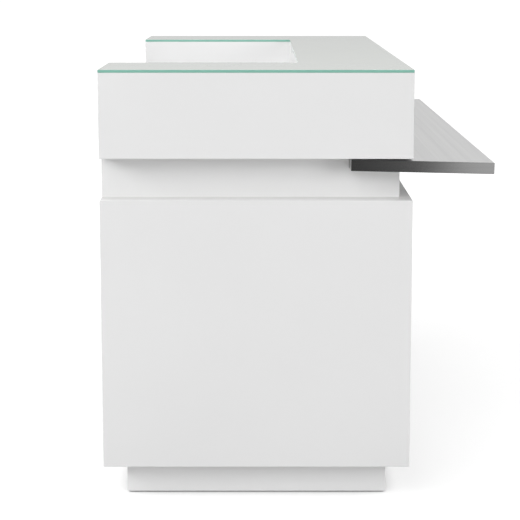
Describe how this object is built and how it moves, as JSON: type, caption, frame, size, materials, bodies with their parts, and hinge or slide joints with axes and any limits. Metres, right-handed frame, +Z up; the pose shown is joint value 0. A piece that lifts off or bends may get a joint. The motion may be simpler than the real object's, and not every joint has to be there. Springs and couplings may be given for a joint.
{
  "type": "manicure table",
  "caption": "White lacquered manicure table: glass bar round an operator's bay, recessed neck, steel client shelf, drawers, cupboard and knee space on a recessed plinth.",
  "frame": {"origin": "on the floor, under the middle of the whole table's box", "axes": "+Z up, +X towards the client's side with the steel shelf, -X the operator's side, +Y along the table to the end away from the viewer of its end face"},
  "size_m": [0.755, 1.4, 0.846],
  "materials": {
    "white_lacquer": "satin lacquer on fibreboard",
    "plinth_lacquer": "satin lacquer on fibreboard",
    "white_board": "matt white faced board",
    "raw_board": "raw fibreboard and wood",
    "glass": "clear float glass, green polished edge",
    "brushed_steel": "brushed stainless steel",
    "zinc_steel": "bright zinc plated steel",
    "clear_pad": "clear silicone",
    "black_plastic": "black nylon",
    "white_plastic": "white nylon"
  },
  "bodies": {
    "root": {"arm_tips": "white_lacquer", "bar_ribs": "white_board", "bay_sides": "white_lacquer", "bay_wall": "white_lacquer", "casing_screws": "zinc_steel", "cupboard_back": "white_board", "cupboard_shelf": "white_board", "cupboard_shelf_pins": "zinc_steel", "door_magnet_catch": "white_plastic", "door_pivot_pins": "zinc_steel", "door_pivot_washer": "white_plastic", "drawer_runner_outers": "zinc_steel", "glass_pads": "clear_pad", "glass_top_far": "glass", "glass_top_main": "glass", "knee_wall": "white_board", "levelling_blocks": "raw_board", "levelling_pads": "black_plastic", "levelling_studs": "zinc_steel", "lower_bottom_boards": "white_board", "lower_end_far": "white_lacquer", "lower_end_near": "white_lacquer", "lower_front": "white_lacquer", "lower_top_boards": "white_board", "neck_ends": "white_lacquer", "neck_front": "white_lacquer", "neck_knee_sides": "white_board", "neck_knee_wall": "white_board", "neck_operator_panels": "white_lacquer", "pedestal_side_far": "white_board", "pedestal_side_near": "white_board", "plinth_client_board": "plinth_lacquer", "plinth_ends": "plinth_lacquer", "plinth_knee_boards": "plinth_lacquer", "plinth_operator_boards": "plinth_lacquer", "shelf_bracket_screws": "zinc_steel", "shelf_brackets": "zinc_steel", "shelf_core": "raw_board", "shelf_end_caps": "brushed_steel", "shelf_skin": "brushed_steel", "upper_bottom_boards": "white_board", "upper_end_far": "white_lacquer", "upper_end_near": "white_lacquer", "upper_front": "white_lacquer", "upper_top_boards": "white_board", "work_surface": "white_lacquer"},
    "drawer_top": {"drawer_top_front": "white_lacquer", "drawer_top_box": "white_board", "drawer_top_runner_inners": "zinc_steel"},
    "drawer_top_runner": {"drawer_top_runner_mids": "zinc_steel"},
    "drawer_middle": {"drawer_middle_front": "white_lacquer", "drawer_middle_box": "white_board", "drawer_middle_runner_inners": "zinc_steel"},
    "drawer_middle_runner": {"drawer_middle_runner_mids": "zinc_steel"},
    "drawer_bottom": {"drawer_bottom_front": "white_lacquer", "drawer_bottom_box": "white_board", "drawer_bottom_runner_inners": "zinc_steel"},
    "drawer_bottom_runner": {"drawer_bottom_runner_mids": "zinc_steel"},
    "door": {"cupboard_door": "white_lacquer", "door_strike_plate": "zinc_steel"}
  },
  "joints": [
    {"name": "drawer_top_slide", "type": "slide", "parent": "root", "child": "drawer_top", "axis": [-1, 0, 0], "range_m": [0, 0.35]},
    {"name": "drawer_top_runner_slide", "type": "slide", "parent": "root", "child": "drawer_top_runner", "axis": [-1, 0, 0], "range_m": [0, 0.175]},
    {"name": "drawer_middle_slide", "type": "slide", "parent": "root", "child": "drawer_middle", "axis": [-1, 0, 0], "range_m": [0, 0.35]},
    {"name": "drawer_middle_runner_slide", "type": "slide", "parent": "root", "child": "drawer_middle_runner", "axis": [-1, 0, 0], "range_m": [0, 0.175]},
    {"name": "drawer_bottom_slide", "type": "slide", "parent": "root", "child": "drawer_bottom", "axis": [-1, 0, 0], "range_m": [0, 0.35]},
    {"name": "drawer_bottom_runner_slide", "type": "slide", "parent": "root", "child": "drawer_bottom_runner", "axis": [-1, 0, 0], "range_m": [0, 0.175]},
    {"name": "door_hinge", "type": "hinge", "parent": "root", "child": "door", "pos_m": [-0.3635, 0.671, 0.3315], "axis": [0, 0, -1], "range_deg": [0, 90]}
  ],
  "couplings": [
    {"joint": "drawer_top_runner_slide", "follows": "drawer_top_slide", "ratio": 0.5},
    {"joint": "drawer_middle_runner_slide", "follows": "drawer_middle_slide", "ratio": 0.5},
    {"joint": "drawer_bottom_runner_slide", "follows": "drawer_bottom_slide", "ratio": 0.5}
  ]
}
